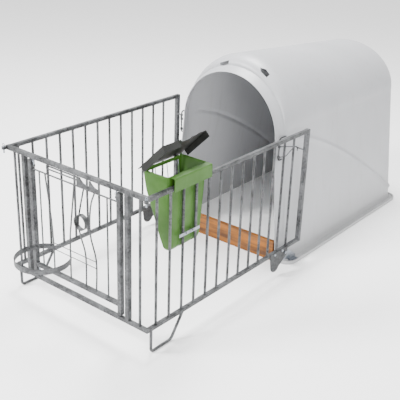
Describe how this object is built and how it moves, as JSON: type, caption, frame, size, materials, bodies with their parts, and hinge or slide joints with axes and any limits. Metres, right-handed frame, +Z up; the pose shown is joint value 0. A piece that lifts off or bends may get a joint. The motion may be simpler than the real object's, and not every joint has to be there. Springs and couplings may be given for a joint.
{
  "type": "calf hutch",
  "caption": "Tunnel-shaped calf hutch with a barred run, swinging feeding gate, bucket and bottle holders, and a lidded hay rack.",
  "frame": {"origin": "on the ground at the middle of the bounding box's footprint", "axes": "+Z up, +Y from the gate towards the back of the shelter, +X to the right seen from the gate"},
  "size_m": [1.196, 3.4498, 1.381],
  "materials": {
    "gelcoat": "off-white moulded glass-fibre laminate with a worn semi-gloss gelcoat",
    "galvanised": "hot-dip galvanised, matt and mottled",
    "zinc": "bright zinc-plated",
    "dark_steel": "weathered galvanised plate",
    "timber": "orange-brown sealed board",
    "rack_green": "green moulded plastic",
    "lid_black": "near-black moulded plastic"
  },
  "bodies": {
    "hutch": {"hutch_shell": "gelcoat", "base_flange": "gelcoat", "board_stops": "zinc", "hook_bar_left": "galvanised", "hook_bar_right": "galvanised", "flange_bracket_left": "zinc", "flange_bracket_right": "zinc", "pivot_bolt_left": "zinc", "pivot_bolt_right": "zinc", "bracket_bolts": "zinc"},
    "run": {"foot_plate_bolts": "zinc", "left_top_rail": "galvanised", "left_bottom_rail": "galvanised", "left_rear_stile": "galvanised", "left_bars": "galvanised", "left_foot": "galvanised", "left_foot_plate": "dark_steel", "left_catch_peg": "galvanised", "right_top_rail": "galvanised", "right_bottom_rail": "galvanised", "right_rear_stile": "galvanised", "right_bars": "galvanised", "right_foot": "galvanised", "right_foot_plate": "dark_steel", "right_catch_peg": "galvanised", "front_top_rail": "galvanised", "front_bottom_rail": "galvanised", "front_posts": "galvanised", "front_end_bars": "galvanised", "corner_lugs": "galvanised", "rack_body": "rack_green", "rack_grille": "zinc", "rack_clamp_strip": "zinc", "rack_clamp_bolts": "zinc", "lid_hinge_rod": "zinc"},
    "gate": {"gate_left_stile": "galvanised", "gate_right_stile": "galvanised", "gate_bottom_rail": "galvanised", "gate_top_rod": "galvanised", "gate_rods": "galvanised", "gate_cross_wires": "galvanised", "gate_grid_rods": "galvanised", "notched_plate": "galvanised", "bottle_ring": "galvanised", "bucket_ring": "galvanised", "hinge_pin_top": "zinc", "hinge_pin_bottom": "zinc", "pin_guides": "galvanised"},
    "latch": {"latch_pin": "zinc"},
    "lid": {"rack_lid": "lid_black"},
    "board": {"bedding_board": "timber"},
    "link_left": {"hook_link_left": "galvanised"},
    "link_right": {"hook_link_right": "galvanised"},
    "pin_left": {"corner_pin_left": "zinc"},
    "pin_right": {"corner_pin_right": "zinc"}
  },
  "joints": [
    {"name": "run_tilt", "type": "hinge", "parent": "hutch", "child": "run", "pos_m": [0, -0.0346, 0.138], "axis": [-1, 0, 0], "range_deg": [0, 35]},
    {"name": "gate_swing", "type": "hinge", "parent": "run", "child": "gate", "pos_m": [-0.34, -1.4126, 0.6], "axis": [0, 0, -1], "range_deg": [0, 95]},
    {"name": "latch_slide", "type": "slide", "parent": "gate", "child": "latch", "axis": [0, 0, 1], "range_m": [0, 0.013]},
    {"name": "lid_swing", "type": "hinge", "parent": "run", "child": "lid", "pos_m": [0.3715, -1.0736, 1.045], "axis": [0, -1, 0], "range_deg": [-45, 50]},
    {"name": "board_pull", "type": "slide", "parent": "hutch", "child": "board", "axis": [0, -1, 0], "range_m": [0, 0.1]},
    {"name": "link_swing_left", "type": "hinge", "parent": "hutch", "child": "link_left", "pos_m": [-0.43, 0.0354, 0.85], "axis": [0, 0, 1], "range_deg": [0, 100]},
    {"name": "link_swing_right", "type": "hinge", "parent": "hutch", "child": "link_right", "pos_m": [0.43, 0.0354, 0.85], "axis": [0, 0, -1], "range_deg": [0, 100]},
    {"name": "corner_pin_left_pull", "type": "slide", "parent": "run", "child": "pin_left", "axis": [0, 0, 1], "range_m": [0, 0.04]},
    {"name": "corner_pin_right_pull", "type": "slide", "parent": "run", "child": "pin_right", "axis": [0, 0, 1], "range_m": [0, 0.04]}
  ]
}
